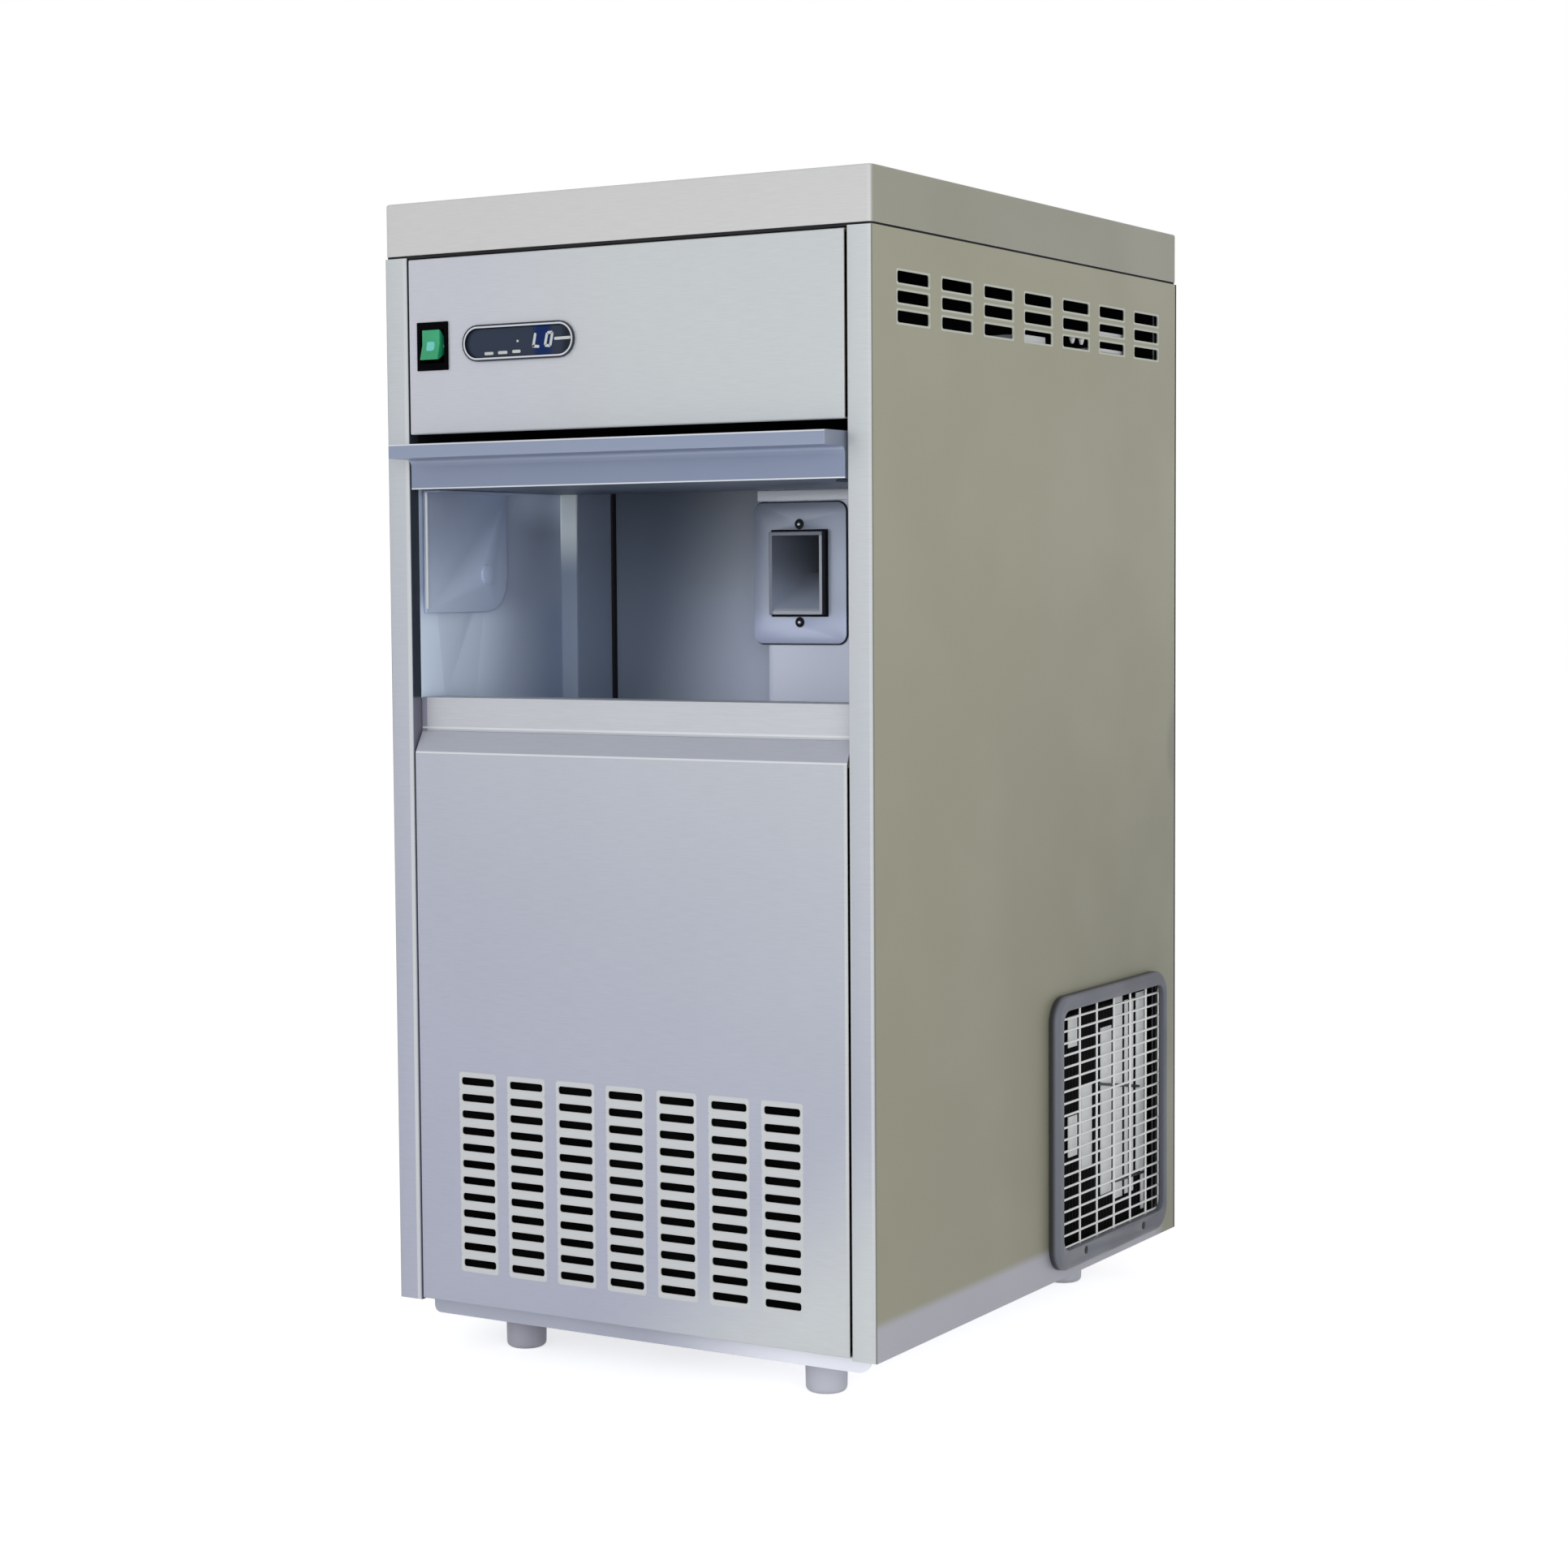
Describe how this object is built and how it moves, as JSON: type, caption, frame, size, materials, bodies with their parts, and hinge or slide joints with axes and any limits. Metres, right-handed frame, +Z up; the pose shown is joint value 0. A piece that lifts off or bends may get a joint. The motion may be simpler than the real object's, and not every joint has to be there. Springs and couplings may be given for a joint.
{
  "type": "flake ice maker",
  "caption": "Upright cabinet that makes flake ice: auger evaporator, refrigeration unit and water tank behind an ice bin with a swing-up insulated door.",
  "frame": {"origin": "centre of the bounding box's underside, on the floor between the four feet", "axes": "+Z up; the door and the control panel face -Y; +X towards the side with the air grille"},
  "size_m": [0.388, 0.5136, 0.7921],
  "materials": {
    "satin_steel": "satin",
    "bin_steel": "satin",
    "galvanised": "matte",
    "handle_alloy": "satin",
    "black_plastic": "satin",
    "green_rocker": "gloss",
    "silver_trim": "satin",
    "dark_window": "gloss",
    "circuit_board": "matte",
    "white_foam": "matte",
    "white_plastic": "satin",
    "grey_plastic": "satin",
    "foot_plastic": "satin",
    "cast_alloy": "matte",
    "black_enamel": "gloss",
    "fin_alloy": "satin",
    "copper": "satin",
    "brass": "satin",
    "clear_hose": "gloss"
  },
  "bodies": {
    "cabinet": {"top_cover": "satin_steel", "side_panel_left": "satin_steel", "side_panel_right": "satin_steel", "lower_front_panel": "satin_steel", "bin_sill": "satin_steel", "control_panel": "satin_steel", "bin_liner": "bin_steel", "chute_plate": "bin_steel", "evaporator_barrel": "bin_steel", "top_frame": "galvanised", "back_panel": "galvanised", "base_pan": "galvanised", "electrics_deck": "galvanised", "drive_stand": "galvanised", "fan_shroud": "galvanised", "switch_bezel": "black_plastic", "cable_gland": "black_plastic", "display_bezel": "silver_trim", "chute_screw_top": "silver_trim", "chute_screw_bottom": "silver_trim", "grille_mesh": "silver_trim", "display_window": "dark_window", "control_board": "circuit_board", "bin_insulation": "white_foam", "evaporator_jacket": "white_foam", "ice_spout": "white_plastic", "water_tank": "white_plastic", "tank_lid": "white_plastic", "grille_frame": "grey_plastic", "drain_spigot": "grey_plastic", "foot_front_left": "foot_plastic", "foot_front_right": "foot_plastic", "foot_rear_left": "foot_plastic", "foot_rear_right": "foot_plastic", "auger_head": "cast_alloy", "gearbox_housing": "cast_alloy", "barrel_stand": "cast_alloy", "gear_motor": "black_enamel", "compressor": "black_enamel", "fan_motor": "black_enamel", "condenser": "fin_alloy", "filter_drier": "copper", "discharge_pipe": "copper", "liquid_pipe": "copper", "capillary": "copper", "suction_pipe": "copper", "float_valve": "brass", "feed_hose": "clear_hose", "drain_hose": "clear_hose"},
    "door": {"door_leaf": "satin_steel", "door_foam": "white_foam", "door_handle": "handle_alloy", "door_cheek_left": "bin_steel", "door_cheek_right": "bin_steel"},
    "rocker": {"switch_rocker": "green_rocker"},
    "auger_drive": {"auger": "bin_steel", "drive_gear": "brass"},
    "pinion": {"motor_pinion": "satin_steel"},
    "fan": {"fan_blade": "grey_plastic"},
    "float": {"float": "white_plastic"}
  },
  "joints": [
    {"name": "bin_door", "type": "hinge", "parent": "cabinet", "child": "door", "pos_m": [-0.004, -0.1476, 0.5404], "axis": [1, 0, 0], "range_deg": [0, 90]},
    {"name": "power_rocker", "type": "hinge", "parent": "cabinet", "child": "rocker", "pos_m": [-0.1538, -0.2272, 0.6946], "axis": [1, 0, 0], "range_deg": [0, 16]},
    {"name": "auger_spin", "type": "hinge", "parent": "cabinet", "child": "auger_drive", "pos_m": [0.02222, 0.0751, 0.1431], "axis": [0, 0, 1], "continuous": true},
    {"name": "pinion_spin", "type": "hinge", "parent": "cabinet", "child": "pinion", "pos_m": [-0.02278, 0.0751, 0.1488], "axis": [0, 0, 1], "continuous": true},
    {"name": "fan_spin", "type": "hinge", "parent": "cabinet", "child": "fan", "pos_m": [0.1177, 0.1063, 0.1325], "axis": [1, 0, 0], "continuous": true},
    {"name": "float_arm", "type": "hinge", "parent": "cabinet", "child": "float", "pos_m": [-0.109, 0.2172, 0.533], "axis": [1, 0, 0], "range_deg": [-25, 0]}
  ],
  "couplings": [
    {"joint": "pinion_spin", "follows": "auger_spin", "ratio": -4}
  ]
}
